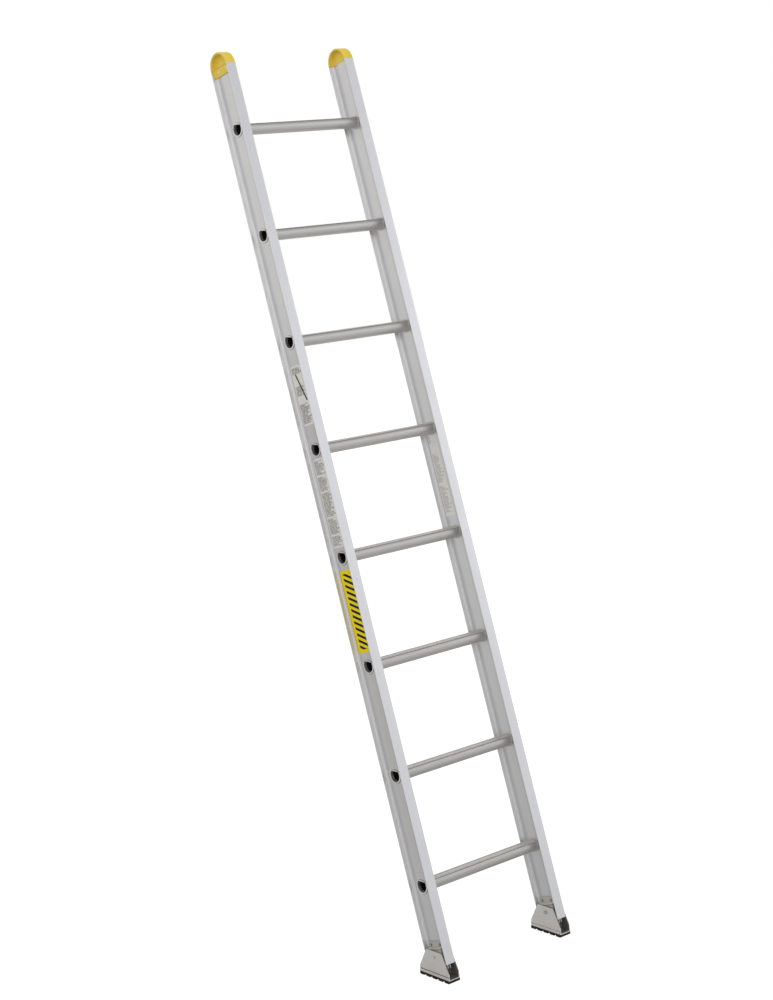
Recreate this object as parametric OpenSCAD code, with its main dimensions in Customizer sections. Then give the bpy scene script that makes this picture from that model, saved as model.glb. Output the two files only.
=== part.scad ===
// Straight single-section ladder: two I-section rails, eight D-section rungs,
// moulded end caps and swivelling shoes with rubber treads.
// It stands as it is used, leaning away from the climber towards +Y, on both soles at z = 0.
// X runs across the ladder, -Y is the climber's side and +Z is up.

/* [Ladder] */
// Angle between the rails and the ground
lean_deg = 75.5; // [70:0.5:80]
// Width over the outer flange edges of the rails
ladder_w = 449.6; // [350:1:600]
// Distance from one rung axis to the next, along the rail
rung_pitch = 304.8; // [250:0.1:350]
// Distance from the rails' lower ends to the first rung axis
foot_run = 214.3; // [160:0.1:300]
// Distance from the last rung axis to the rails' upper ends
top_run = 179.1; // [80:0.1:300]

/* [Rails] */
// Depth of the rail from front face to back face
rail_depth = 80.6; // [74:0.1:110]
// Width of the rail's flanges
flange_w = 31; // [28:0.5:45]
// Thickness of the flanges
flange_t = 3; // [2.2:0.1:5]
// Thickness of the web between its two bands
web_t = 3; // [2:0.1:4.5]
// How far the web is thicker on each side, next to each flange
band_rise = 1; // [0.4:0.1:1.5]
// Height of that thicker band above the flange
band_h = 8.5; // [4:0.5:10]
// Height of the slope from the band down to the web
band_slope = 3; // [1:0.5:4]
// Radius of the flanges' edges
edge_r = 1; // [0.3:0.1:1.05]
// Fillet between band and flange
fillet_r = 2; // [0.5:0.1:3]

/* [Rungs] */
// Radius of the rung's round underside
rung_r = 18.8; // [16:0.1:21]
// Height of the flat tread above the rung's axis
tread_h = 12.4; // [9:0.1:15]
// Wall thickness of the rung tube
rung_wall = 1.6; // [1.2:0.1:3.5]
// Gap between the rung tube and its hole in the web
rung_gap = 0.1; // [0.05:0.05:0.3]
// Width of the rolled lip outside the web, beyond the tube
lip_w = 3.8; // [1.5:0.1:4.5]
// Thickness of the rolled lip
lip_t = 2; // [1:0.1:3]
// Width of the swaged bead inside the web, beyond the tube
bead_w = 2.6; // [1:0.1:3.8]
// Thickness of the swaged bead
bead_t = 3.2; // [1.5:0.1:6]
// Number of grip grooves along the tread
groove_n = 7; // [3:2:9]
// Width of a grip groove
groove_w = 1.4; // [0.6:0.1:1.8]
// Depth of a grip groove
groove_d = 0.5; // [0.2:0.1:0.8]
// Distance from one grip groove to the next
groove_pitch = 3.2; // [2.4:0.1:3.3]

/* [End caps] */
// Thickness of the cap's rim
cap_rim = 5.5; // [3.5:0.5:9]
// Length of the cap's tongue down the outer channel
tongue_len = 22; // [18:1:40]
// Thickness of the tongue and its side walls
tongue_t = 2; // [1.5:0.1:3]
// Height of the tongue's side walls above the web's bands
tongue_wall = 8; // [4:0.5:10]
// How far the tongue runs up into the cap's recess
tongue_lap = 3; // [1:0.5:8]
// Gap between the tongue and the rail
tongue_gap = 0.2; // [0.1:0.05:0.4]
// Distance of the cap's rivets below the rail's upper end
cap_rivet_down = 10; // [7:0.5:12]
// Distance between the cap's two rivets
cap_rivet_span = 40; // [24:1:48]

/* [Shoe brackets] */
// Thickness of the bracket's legs
leg_t = 3; // [2:0.1:3.5]
// Thickness of the bracket's ledge
ledge_t = 2; // [1.5:0.1:4]
// Gap between each side of the bracket and the flange beside it
bracket_gap = 7; // [2.6:0.1:10]
// Height of the bracket's upper edge above the shoe pivot
bracket_rise = 40; // [36:1:60]
// Height of the ledge's underside above the shoe pivot
ledge_rise = 20; // [10:0.5:22]
// Height of the bracket's rivets above the shoe pivot
bracket_rivet_rise = 30; // [27:0.5:32]
// Distance between the bracket's two rivets
bracket_rivet_span = 37; // [24:1:48]
// Length of the bracket's outer leg below the shoe pivot
leg_drop = 16; // [9:0.5:20]
// Length of the bracket's inner leg past the rail's lower end
leg_overrun = 12; // [4:0.5:13]
// Depth of the outer leg's face inside the flange edges
leg_inset = 1.5; // [1:0.1:3]
// Depth of the ledge's edge inside the flange edges
ledge_inset = 0.5; // [0.3:0.1:0.9]

/* [Shoes] */
// Height of the pivot above the rail's lower end
pivot_up = 23; // [18:0.5:27]
// Running gap between the rail's flange edges and the shoe's plates
shoe_gap = 0.4; // [0.3:0.05:1]
// Thickness of the shoe's side plates
plate_t = 2.4; // [1.5:0.1:4]
// Thickness of the shoe's base
base_t = 3; // [2:0.1:4]
// Height of the plates above the pivot
plate_rise = 16.5; // [12:0.5:17]
// Depth of the shoe below the pivot
plate_drop = 55; // [54:0.5:70]
// Reach of the shoe in front of the pivot
toe_reach = 54.5; // [50:0.5:65]
// Reach of the shoe behind the pivot
heel_reach = 65; // [55:0.5:70]
// Reach of the plates' upper edge in front of the pivot
toe_top = 30; // [28:0.5:40]
// Reach of the plates' upper edge behind the pivot
heel_top = 33; // [28:0.5:40]
// Height of the upright part of the plates' front ends
toe_upright = 19; // [14:0.5:25]
// Height of the upright part of the plates' rear ends
heel_upright = 17; // [13.5:0.5:20]
// Radius of the plates' upper corners
plate_corner_r = 9; // [4:0.5:12]
// How far the plates' lower band stands proud
skirt_rise = 0.8; // [0.3:0.1:1.5]
// Height of the plates' lower band
skirt_h = 11; // [8:0.5:13]
// Radius of the shoe's lower edges
shoe_edge_r = 2; // [0.5:0.1:2.2]

/* [Treads] */
// Thickness of the rubber sheet under the shoe
sheet_t = 2; // [1.5:0.1:4]
// Depth of the tread bars below that sheet
bar_depth = 5.5; // [3:0.5:10]
// Number of tread bars
bar_n = 5; // [5:2:7]
// Width of the grooves between the tread bars
bar_gap = 5; // [2:0.5:8]
// How far the rubber stands out beyond the shoe at each side
tread_lip = 0.4; // [0.2:0.1:2]
// Radius of the tread bars' lower edges
bar_r = 3; // [0.5:0.5:4.5]

/* [Fasteners] */
// Radius of the pivot bolt's shank
bolt_r = 3; // [2.5:0.1:3.5]
// Running gap between the bolt and the shoe's holes
bolt_gap = 0.05; // [0.03:0.01:0.1]
// Radius of the bolt's head
bolt_head_r = 4; // [3.8:0.1:7]
// Height of the bolt's head
bolt_head_h = 2.2; // [1.5:0.1:4]
// Gap between the shoe and the bolt's head or nut
head_gap = 0.3; // [0.2:0.05:0.5]
// Width of the nut across its flats
nut_af = 9; // [8.5:0.5:13]
// Height of the nut
nut_h = 5; // [3:0.1:8]
// How far the bolt's end shows beyond the nut
bolt_end = 1; // [0.5:0.1:3]
// Wall of the sleeves and washers on the bolt
sleeve_wall = 2.6; // [1:0.1:3]
// Radius of the rivets' shanks
rivet_r = 2.4; // [1.5:0.1:3]
// Radius of the rivets' heads
rivet_head_r = 4.2; // [3.5:0.1:5]
// Height of the rivets' heads
rivet_head_h = 1.8; // [1:0.1:2.2]
// Gap between a rivet or a clamped bolt and its hole
hole_gap = 0.1; // [0.05:0.01:0.2]

/* [Labels] */
// Thickness of the labels
label_t = 0.3; // [0.2:0.05:0.5]
// Length of the yellow band on the left rail
band_label_len = 230; // [100:1:240]
// Length of the long clear label on the left rail
long_label_len = 250; // [100:1:255]
// Length of the short pale label on the left rail
short_label_len = 168; // [60:1:240]
// Length of the narrow label inside the right rail
narrow_label_len = 215; // [60:1:240]
// Width of the narrow label inside the right rail
narrow_label_w = 38; // [15:1:40]
// Gap between a label's edge and the band beside it
label_gap = 0.5; // [0.3:0.1:2]

/* [Hidden] */

// smoothness
$fn = 64;
arc_steps = 4;        // straight steps in a small rounded corner
corner_steps = 8;     // straight steps in a plate's rounded corner
cut = 1;              // how far a cutting solid runs past what it cuts

// the rails
rung_count = 8;
tilt = 90 - lean_deg;
rail_len = foot_run + (rung_count - 1) * rung_pitch + top_run;
rail_mid = rail_depth / 2;
web_x = (ladder_w - flange_w) / 2;          // middle of a rail's web
half_flange = flange_w / 2;
half_web = web_t / 2;
half_band = half_web + band_rise;
band_end = flange_t + band_h + band_slope;  // depth at which the web is thin again

// the shoes' pivot in the leaning rails' own frame, and where it stands
sole_drop = plate_drop + sheet_t + bar_depth;
pivot_fore = rail_mid * cos(tilt) + pivot_up * sin(tilt);
pivot_high = pivot_up * cos(tilt) - rail_mid * sin(tilt);
toe_y = pivot_fore - toe_reach - tread_lip;
cap_back_y = rail_mid * (1 + cos(tilt)) + rail_len * sin(tilt);
mid_y = (toe_y + cap_back_y) / 2;
lift = sole_drop - pivot_high;

// the shoes, across
shoe_half_in = half_flange + shoe_gap;
shoe_half_out = shoe_half_in + plate_t;
skirt_half = shoe_half_out + skirt_rise;
tread_half = skirt_half + tread_lip;
head_x = shoe_half_out + head_gap;

// the brackets, across from the middle of the web
outer_leg_x = half_flange - leg_inset;
inner_leg_x = half_band + leg_t;

// ---- shared shapes ----

// points of an arc about c, from angle a to angle b
function arc(c, r, a, b, steps = arc_steps) =
    [for (i = [0:steps]) c + r * [cos(a + (b - a) * i / steps), sin(a + (b - a) * i / steps)]];

function flipped(points) = [for (i = [len(points) - 1:-1:0]) points[i]];
function mirrored_x(points) = [for (p = flipped(points)) [-p.x, p.y]];
function mirrored_depth(points) = [for (p = flipped(points)) [p.x, rail_depth - p.y]];

// a corner at p rounded to radius r, between the straights from a and to b
function corner(a, p, b, r, steps = corner_steps) =
    let (u = (a - p) / norm(a - p), v = (b - p) / norm(b - p),
         half = acos(u * v) / 2,
         c = p + (u + v) / norm(u + v) * r / sin(half),
         s = p + u * r / tan(half) - c,
         e = p + v * r / tan(half) - c,
         from = atan2(s.y, s.x),
         turn = atan2(e.y, e.x) - from,
         sweep = turn > 180 ? turn - 360 : turn < -180 ? turn + 360 : turn)
    arc(c, r, from, from + sweep, steps);

// extrudes a shape drawn in the YZ plane along X, about x = 0
module across(length) {
    rotate([90, 0, 90]) linear_extrude(length, center = true) children();
}

// the same between two values of x
module between(x0, x1) {
    translate([(x0 + x1) / 2, 0, 0]) across(x1 - x0) children();
}

// a hole or pin along X
module rod(r, x0, x1) {
    between(x0, x1) circle(r);
}

// the leaning frame of the rails: x across, y from front to back, z along the rail
module leaning() {
    translate([0, -mid_y, lift]) rotate([-tilt, 0, 0]) children();
}

// the level frame at a height along the rail, in the middle of its depth
module level_at(z) {
    leaning() translate([0, rail_mid, z]) rotate([tilt, 0, 0]) children();
}

// places a piece drawn about the web of the right rail, outwards to +X, on either side
module on_side(left) {
    mirror([left ? 1 : 0, 0, 0]) translate([web_x, 0, 0]) children();
}

function rung_z(i) = foot_run + (i - 1) * rung_pitch;

// round below, with a flat tread on top
module d_shape(r, h) {
    intersection() {
        circle(r);
        translate([-r, -r]) square([2 * r, r + h]);
    }
}

// ---- rails ----

// a quarter of the I-section, from the front edge to the thin web
rail_quarter = concat(
    arc([half_flange - edge_r, edge_r], edge_r, -90, 0),
    arc([half_flange - edge_r, flange_t - edge_r], edge_r, 0, 90),
    arc([half_band + fillet_r, flange_t + fillet_r], fillet_r, 270, 180),
    [[half_band, flange_t + band_h], [half_web, band_end]]);
rail_half = concat(rail_quarter, mirrored_depth(rail_quarter));

module rail_section() {
    polygon(concat(rail_half, mirrored_x(rail_half)));
}

module bracket_rivet_places() {
    for (side = [-1, 1])
        translate([0, rail_mid + side * bracket_rivet_span / 2, pivot_up + bracket_rivet_rise])
            children();
}

module cap_rivet_places() {
    for (side = [-1, 1])
        translate([0, rail_mid + side * cap_rivet_span / 2, rail_len - cap_rivet_down]) children();
}

module rail(left) {
    color([0.78, 0.78, 0.79]) leaning() on_side(left) difference() {
        linear_extrude(rail_len) rail_section();
        for (i = [1:rung_count])
            translate([0, rail_mid, rung_z(i)]) rotate([tilt, 0, 0])
                across(flange_w) d_shape(rung_r + rung_gap, tread_h + rung_gap);
        translate([0, rail_mid, pivot_up]) rod(bolt_r + hole_gap, -half_flange, half_flange);
        bracket_rivet_places() rod(rivet_r + hole_gap, -half_flange, half_flange);
        cap_rivet_places() rod(rivet_r + hole_gap, -half_flange, half_flange);
    }
}

// ---- rungs ----

// outline of the rolled lip: round, with a crowned top that passes over the tube's corners
module lip_shape() {
    over_corner = sqrt(pow(rung_r, 2) - pow(tread_h, 2)) + lip_w / 3;
    crown_r = (pow(over_corner, 2) + pow(lip_w, 2)) / (2 * lip_w);
    intersection() {
        circle(rung_r + lip_w);
        translate([0, tread_h + lip_w - crown_r]) circle(crown_r);
    }
}

module rung(i) {
    outside = web_x + half_web;
    inside = web_x - half_web;
    color([0.66, 0.65, 0.63]) level_at(rung_z(i)) difference() {
        union() {
            across(2 * (outside + lip_t)) d_shape(rung_r, tread_h);
            for (m = [0, 1]) mirror([m, 0, 0]) {
                between(outside, outside + lip_t) lip_shape();
                between(inside - bead_t, inside) d_shape(rung_r + bead_w, tread_h + bead_w);
            }
        }
        across(2 * (outside + lip_t + cut)) d_shape(rung_r - rung_wall, tread_h - rung_wall);
        for (k = [-(groove_n - 1) / 2:(groove_n - 1) / 2])
            translate([bead_t - inside, k * groove_pitch - groove_w / 2, tread_h - groove_d])
                cube([2 * (inside - bead_t), groove_w, groove_d + cut]);
    }
}

// ---- end caps ----

// half of the tongue: a channel section that seats on the bands and clears the fillets
tongue_side = flange_t + tongue_gap;
tongue_chamfer = fillet_r + tongue_gap;
tongue_half = [
    [half_band, tongue_side + tongue_chamfer],
    [half_band + tongue_chamfer, tongue_side],
    [half_band + tongue_wall, tongue_side],
    [half_band + tongue_wall, tongue_side + tongue_t],
    [half_band + tongue_chamfer + tongue_t / 2, tongue_side + tongue_t],
    [half_band + tongue_t, tongue_side + tongue_chamfer + tongue_t / 2]];

module end_cap(left) {
    dome_r = rail_mid;
    color([0.87, 0.76, 0.24]) leaning() on_side(left) difference() {
        union() {
            translate([0, rail_mid, rail_len]) {
                across(flange_w) intersection() {
                    difference() {
                        circle(dome_r);
                        circle(dome_r - cap_rim);
                    }
                    translate([-dome_r, 0]) square([2 * dome_r, dome_r]);
                }
                across(2 * half_band) intersection() {
                    circle(dome_r - cap_rim / 2);
                    translate([-dome_r, 0]) square([2 * dome_r, dome_r]);
                }
            }
            intersection() {
                translate([0, 0, rail_len - tongue_len])
                    linear_extrude(tongue_len + tongue_lap)
                        polygon(concat(tongue_half, mirrored_depth(tongue_half)));
                translate([0, rail_mid, rail_len]) between(0, half_flange) union() {
                    circle(dome_r - cap_rim / 2);
                    translate([-dome_r, -tongue_len]) square([2 * dome_r, tongue_len]);
                }
            }
        }
        cap_rivet_places() rod(rivet_r + hole_gap, 0, half_flange);
    }
}

// points of a domed head of radius r and height h that seats at x, from its rim to its crown
function dome_points(r, h, x, way) =
    let (ball = (r * r + h * h) / (2 * h), rim = asin(r / ball))
    [for (i = [0:corner_steps])
        let (a = rim * (1 - i / corner_steps))
        [ball * sin(a), x + way * (h - ball + ball * cos(a))]];

// turns a profile of [radius, x] points about the X axis
module turned(points) {
    rotate([0, 90, 0]) rotate_extrude() polygon(points);
}

// a rivet between two seats, with a domed head on each end
module rivet(x0, x1) {
    turned(concat(
        flipped(dome_points(rivet_head_r, rivet_head_h, x0, -1)),
        [[rivet_r, x0], [rivet_r, x1]],
        dome_points(rivet_head_r, rivet_head_h, x1, 1)));
}

module cap_rivets(left) {
    color([0.72, 0.72, 0.74]) leaning() on_side(left) cap_rivet_places()
        rivet(-half_web, half_band + tongue_t);
}

// ---- shoe brackets ----

// one bracket: a leg riveted to the web, a ledge and a shorter outer leg
module bracket(left, outer) {
    w = rail_depth - 2 * (flange_t + bracket_gap);
    y0 = flange_t + bracket_gap;
    top = pivot_up + bracket_rise;
    ledge = pivot_up + ledge_rise;
    color([0.7, 0.7, 0.68]) leaning() on_side(left) mirror([outer ? 0 : 1, 0, 0]) difference() {
        union() {
            translate([half_band, y0, -leg_overrun]) cube([leg_t, w, top + leg_overrun]);
            translate([half_band, y0, ledge])
                cube([half_flange - ledge_inset - half_band, w, ledge_t]);
            translate([outer_leg_x - leg_t, y0, pivot_up - leg_drop])
                cube([leg_t, w, ledge + ledge_t - (pivot_up - leg_drop)]);
        }
        translate([0, rail_mid, pivot_up]) rod(bolt_r + hole_gap, 0, half_flange);
        bracket_rivet_places() rod(rivet_r + hole_gap, 0, inner_leg_x + cut);
    }
}

module bracket_rivets(left) {
    color([0.66, 0.66, 0.64]) leaning() on_side(left) bracket_rivet_places()
        rivet(-inner_leg_x, inner_leg_x);
}

// ---- pivot fasteners ----

module at_pivot(left) {
    level_at(pivot_up) on_side(left) children();
}

module pivot_bolt(left) {
    color([0.7, 0.71, 0.72]) at_pivot(left) turned(concat(
        [[0, -head_x - nut_h - bolt_end], [bolt_r, -head_x - nut_h - bolt_end], [bolt_r, head_x]],
        dome_points(bolt_head_r, bolt_head_h, head_x, 1)));
}

module pivot_nut(left) {
    color([0.68, 0.69, 0.7]) at_pivot(left) difference() {
        between(-head_x - nut_h, -head_x) circle(nut_af / sqrt(3), $fn = 6);
        rod(bolt_r + hole_gap / 2, -head_x - nut_h - cut, -head_x + cut);
    }
}

// tubes that keep the bracket's two legs apart on the bolt
module pivot_sleeves(left) {
    color([0.6, 0.6, 0.62]) at_pivot(left) for (m = [0, 1]) mirror([m, 0, 0]) difference() {
        rod(bolt_r + sleeve_wall, inner_leg_x, outer_leg_x - leg_t);
        rod(bolt_r + bolt_gap, inner_leg_x - cut, outer_leg_x);
    }
}

// nylon washers between the bracket's outer legs and the shoe's plates
module pivot_washers(left) {
    color([0.85, 0.85, 0.82]) at_pivot(left) for (m = [0, 1]) mirror([m, 0, 0]) difference() {
        rod(bolt_r + sleeve_wall, outer_leg_x, shoe_half_in - head_gap);
        rod(bolt_r + bolt_gap, outer_leg_x - cut, shoe_half_in);
    }
}

// ---- shoes ----

// outline of a side plate in the YZ plane about the pivot, the toe towards -Y
toe_low = [-toe_reach, -plate_drop];
toe_high = [-toe_reach, toe_upright - plate_drop];
toe_crown = [-toe_top, plate_rise];
heel_crown = [heel_top, plate_rise];
heel_high = [heel_reach, heel_upright - plate_drop];
heel_low = [heel_reach, -plate_drop];
plate_outline = concat(
    [toe_low],
    corner(toe_low, toe_high, toe_crown, plate_corner_r),
    corner(toe_high, toe_crown, heel_crown, plate_corner_r),
    corner(toe_crown, heel_crown, heel_high, plate_corner_r / 2),
    corner(heel_crown, heel_high, heel_low, plate_corner_r),
    [heel_low]);

// half of the shoe's channel section, with the proud band round its foot
channel_half = concat(
    [[0, -plate_drop]],
    arc([skirt_half - shoe_edge_r, shoe_edge_r - plate_drop], shoe_edge_r, -90, 0),
    [[skirt_half, skirt_h - skirt_rise - plate_drop],
     [shoe_half_out, skirt_h - plate_drop],
     [shoe_half_out, plate_rise + cut],
     [shoe_half_in, plate_rise + cut],
     [shoe_half_in, base_t - plate_drop],
     [0, base_t - plate_drop]]);

module along_y(y0, y1) {
    translate([0, y1, 0]) rotate([90, 0, 0]) linear_extrude(y1 - y0) children();
}

// the rivets stand in the middle of the second bar from each end of the tread
tread_front = -toe_reach - tread_lip;
bar_step = (toe_reach + heel_reach + 2 * tread_lip - bar_gap * (bar_n - 1)) / bar_n;

function bar_y(k) = tread_front + k * (bar_step + bar_gap);

module tread_rivet_places() {
    for (k = [1, bar_n - 2]) translate([0, bar_y(k) + bar_step / 2, -plate_drop]) children();
}

module shoe(left) {
    color([0.69, 0.69, 0.67]) at_pivot(left) difference() {
        intersection() {
            along_y(-toe_reach, heel_reach)
                polygon(concat(channel_half, mirrored_x(channel_half)));
            across(2 * skirt_half) polygon(plate_outline);
        }
        rod(bolt_r + bolt_gap, -skirt_half - cut, skirt_half + cut);
        tread_rivet_places() cylinder(r = rivet_r + hole_gap, h = 2 * base_t, center = true);
    }
}

// ---- treads ----

// outline of the rubber in the YZ plane: a sheet with rounded bars under it
sheet_low = -plate_drop - sheet_t;
function bar_points(y) = concat(
    [[y, sheet_low]],
    arc([y + bar_r, -sole_drop + bar_r], bar_r, 180, 270),
    arc([y + bar_step - bar_r, -sole_drop + bar_r], bar_r, 270, 360),
    [[y + bar_step, sheet_low]]);

tread_outline = concat(
    [[tread_front, -plate_drop]],
    [for (k = [0:bar_n - 1], p = bar_points(bar_y(k))) p],
    [[heel_reach + tread_lip, -plate_drop]]);

module tread(left) {
    color([0.09, 0.09, 0.09]) at_pivot(left) difference() {
        across(2 * tread_half) polygon(tread_outline);
        tread_rivet_places() {
            translate([0, 0, -sheet_t - cut]) cylinder(r = rivet_r + hole_gap, h = sheet_t + 2 * cut);
            translate([0, 0, -sheet_t - bar_depth - cut])
                cylinder(r = rivet_head_r + hole_gap, h = bar_depth + cut);
        }
    }
}

// rivets that hold the rubber under the shoe's base
module tread_rivets(left) {
    color([0.66, 0.66, 0.64]) at_pivot(left) tread_rivet_places() rotate([0, -90, 0])
        rivet(-sheet_t, base_t);
}

// ---- labels ----

// a blank label on the thin part of the web, in the bay above rung i
module flat_label(i, length, y0, y1) {
    translate([half_web, y0, rung_z(i) + (rung_pitch - length) / 2])
        cube([label_t, y1 - y0, length]);
}

// the face of the channel between its two bands, slopes included, which the yellow label follows
channel_face_half = [[half_band, flange_t + band_h], [half_web, band_end]];
channel_face = concat(channel_face_half, mirrored_depth(channel_face_half));

module yellow_band_label() {
    color([0.92, 0.82, 0.05]) leaning() on_side(true)
        translate([0, 0, rung_z(3) + (rung_pitch - band_label_len) / 2])
            linear_extrude(band_label_len)
                polygon(concat(channel_face, [for (p = flipped(channel_face)) p + [label_t, 0]]));
}

module long_clear_label() {
    color([0.75, 0.76, 0.74]) leaning() on_side(true)
        flat_label(4, long_label_len, band_end + label_gap, rail_depth - band_end - label_gap);
}

module short_pale_label() {
    color([0.84, 0.84, 0.81]) leaning() on_side(true)
        flat_label(5, short_label_len, band_end + label_gap, rail_depth - band_end - label_gap);
}

module narrow_label() {
    color([0.82, 0.82, 0.8]) leaning() on_side(false) mirror([1, 0, 0])
        flat_label(4, narrow_label_len, rail_depth - band_end - label_gap - narrow_label_w,
            rail_depth - band_end - label_gap);
}

rail(true);  // left_rail
rail(false);  // right_rail
rung(1);  // rung_1
rung(2);  // rung_2
rung(3);  // rung_3
rung(4);  // rung_4
rung(5);  // rung_5
rung(6);  // rung_6
rung(7);  // rung_7
rung(8);  // rung_8
end_cap(true);  // left_end_cap
end_cap(false);  // right_end_cap
cap_rivets(true);  // left_cap_rivets
cap_rivets(false);  // right_cap_rivets
bracket(true, true);  // left_outer_bracket
bracket(true, false);  // left_inner_bracket
bracket_rivets(true);  // left_bracket_rivets
bracket(false, true);  // right_outer_bracket
bracket(false, false);  // right_inner_bracket
bracket_rivets(false);  // right_bracket_rivets
pivot_bolt(true);  // left_pivot_bolt
pivot_nut(true);  // left_pivot_nut
pivot_sleeves(true);  // left_pivot_sleeves
pivot_washers(true);  // left_pivot_washers
pivot_bolt(false);  // right_pivot_bolt
pivot_nut(false);  // right_pivot_nut
pivot_sleeves(false);  // right_pivot_sleeves
pivot_washers(false);  // right_pivot_washers
shoe(true);  // left_shoe
shoe(false);  // right_shoe
tread(true);  // left_tread
tread(false);  // right_tread
tread_rivets(true);  // left_tread_rivets
tread_rivets(false);  // right_tread_rivets
yellow_band_label();
long_clear_label();
short_pale_label();
narrow_label();
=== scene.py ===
import math

import bmesh
import bpy
from mathutils import Matrix, Vector


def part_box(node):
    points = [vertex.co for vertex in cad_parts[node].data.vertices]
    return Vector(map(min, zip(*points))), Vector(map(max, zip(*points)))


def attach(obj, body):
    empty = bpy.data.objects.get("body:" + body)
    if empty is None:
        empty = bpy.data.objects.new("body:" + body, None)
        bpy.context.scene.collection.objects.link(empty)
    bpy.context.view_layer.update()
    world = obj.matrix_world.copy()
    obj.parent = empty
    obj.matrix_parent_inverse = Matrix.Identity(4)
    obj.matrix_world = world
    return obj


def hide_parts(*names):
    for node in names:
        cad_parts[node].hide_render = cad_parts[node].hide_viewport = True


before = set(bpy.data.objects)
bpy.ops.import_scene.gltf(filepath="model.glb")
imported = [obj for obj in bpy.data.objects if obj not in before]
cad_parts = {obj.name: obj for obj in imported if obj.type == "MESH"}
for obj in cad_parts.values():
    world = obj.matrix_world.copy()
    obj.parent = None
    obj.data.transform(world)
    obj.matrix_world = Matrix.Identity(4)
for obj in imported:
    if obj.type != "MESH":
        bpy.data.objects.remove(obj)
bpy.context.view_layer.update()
mm = 0.001
hair = 0.01 * mm    # a distance too small to see

# sizes that several pieces share, and places taken from the frame

ladder = {
    "pivotUp": 23 * mm,        # pivot above the rail's lower end
    "railDepth": 80.6 * mm,
    "capRivetDown": 10 * mm,   # cap rivets below the rail's upper end
    "rungs": 8,
}


def middle(node):
    low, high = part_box(node)
    return (low + high) / 2


sides = {"left": -1, "right": 1}
railUp = (middle("rung_8") - middle("rung_1")).normalized()
railBack = Vector((0, railUp.z, -railUp.y))
railMid = ladder["railDepth"] / 2
pivots = {side: middle(f"{side}_pivot_washers") for side in sides}


def railPlace(side):    # the rail's own frame: x across, y from front to back, z along the rail
    start = pivots[side] - railUp * ladder["pivotUp"] - railBack * railMid
    turn = Matrix((Vector((1, 0, 0)), railBack, railUp)).transposed()
    return Matrix.Translation(start) @ turn.to_4x4()


def alongRail(point):
    return (railPlace("left").inverted() @ point).z


railLength = alongRail(middle("left_cap_rivets")) + ladder["capRivetDown"]


def shade(red, green, blue):    # a screen colour from 0 to 255, as the linear colour a shader takes
    parts = [value / 255 for value in (red, green, blue)]
    return tuple(((v + 0.055) / 1.055) ** 2.4 for v in parts) + (1,)


def arc(centre, radius, start, end, steps=5):    # points of an arc, angles in degrees
    turns = [math.radians(start + (end - start) * i / steps) for i in range(steps + 1)]
    return [(centre[0] + radius * math.cos(a), centre[1] + radius * math.sin(a)) for a in turns]


def circle(centre, radius, steps=32):
    turns = [math.tau * k / steps for k in range(steps)]
    return [(centre[0] + radius * math.cos(a), centre[1] + radius * math.sin(a)) for a in turns]


def rounded(corners, steps=5):    # a closed outline from (x, y, radius) corners
    outline = []
    for i, (x, y, radius) in enumerate(corners):
        here = Vector((x, y))
        before = Vector(corners[i - 1][:2]) - here
        after = Vector(corners[(i + 1) % len(corners)][:2]) - here
        if radius == 0:
            outline.append((x, y))
            continue
        u, v = before.normalized(), after.normalized()
        half = u.angle(v) / 2
        centre = here + (u + v).normalized() * radius / math.sin(half)
        first = here + u * radius / math.tan(half) - centre
        turn = first.angle_signed(here + v * radius / math.tan(half) - centre)
        for k in range(steps + 1):
            spoke = first.copy()
            spoke.rotate(Matrix.Rotation(-turn * k / steps, 2))
            outline.append(tuple(centre + spoke))
    return outline


def bothHalves(points):    # (x, depth) points, then their mirror about the middle of the rail's depth
    return points + [(x, ladder["railDepth"] - y) for x, y in reversed(points)]


def loft(bm, rings, wrap=False):    # skins rings of points, capped at both ends or joined end to end
    loops = [[bm.verts.new(point) for point in ring] for ring in rings]
    pairs = list(zip(loops, loops[1:])) + ([(loops[-1], loops[0])] if wrap else [])
    faces = []
    for one, two in pairs:
        for i in range(len(one)):
            j = (i + 1) % len(one)
            faces.append(bm.faces.new((one[i], one[j], two[j], two[i])))
    if not wrap:
        faces += [bm.faces.new(loops[0]), bm.faces.new(loops[-1])]
    return faces


def turned(bm, profile, way, centre=(0, 0), steps=40):
    # turns (x, radius) points about a line along X; the ends are on the line
    rings = [[bm.verts.new((way * x, y, z)) for y, z in circle(centre, radius, steps)]
             for x, radius in profile[1:-1]]
    tips = [bm.verts.new((way * profile[i][0], *centre)) for i in (0, -1)]
    for k in range(steps):
        j = (k + 1) % steps
        bm.faces.new((tips[0], rings[0][j], rings[0][k]))
        bm.faces.new((tips[1], rings[-1][k], rings[-1][j]))
        for one, two in zip(rings, rings[1:]):
            bm.faces.new((one[k], one[j], two[j], two[k]))


def hole(bm, centre, radius, ends, steps=32):    # a round cutter across, between two x
    loft(bm, [[(x, y, z) for y, z in circle(centre, radius, steps)] for x in ends])


def well(bm, depth, radius, ends, steps=32):    # a round cutter upright, between two heights
    loft(bm, [[(x, y, z) for x, y in circle((0, depth), radius, steps)] for z in ends])


def meshObject(name, bm, place=Matrix()):
    bmesh.ops.recalc_face_normals(bm, faces=bm.faces)
    mesh = bpy.data.meshes.new(name)
    bm.to_mesh(mesh)
    bm.free()
    piece = bpy.data.objects.new(name, mesh)
    bpy.context.scene.collection.objects.link(piece)
    piece.matrix_world = place
    return piece


def applied(piece):    # works its modifiers into the mesh
    graph = bpy.context.evaluated_depsgraph_get()
    mesh = bpy.data.meshes.new_from_object(piece.evaluated_get(graph))
    piece.modifiers.clear()
    piece.data = mesh


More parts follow.
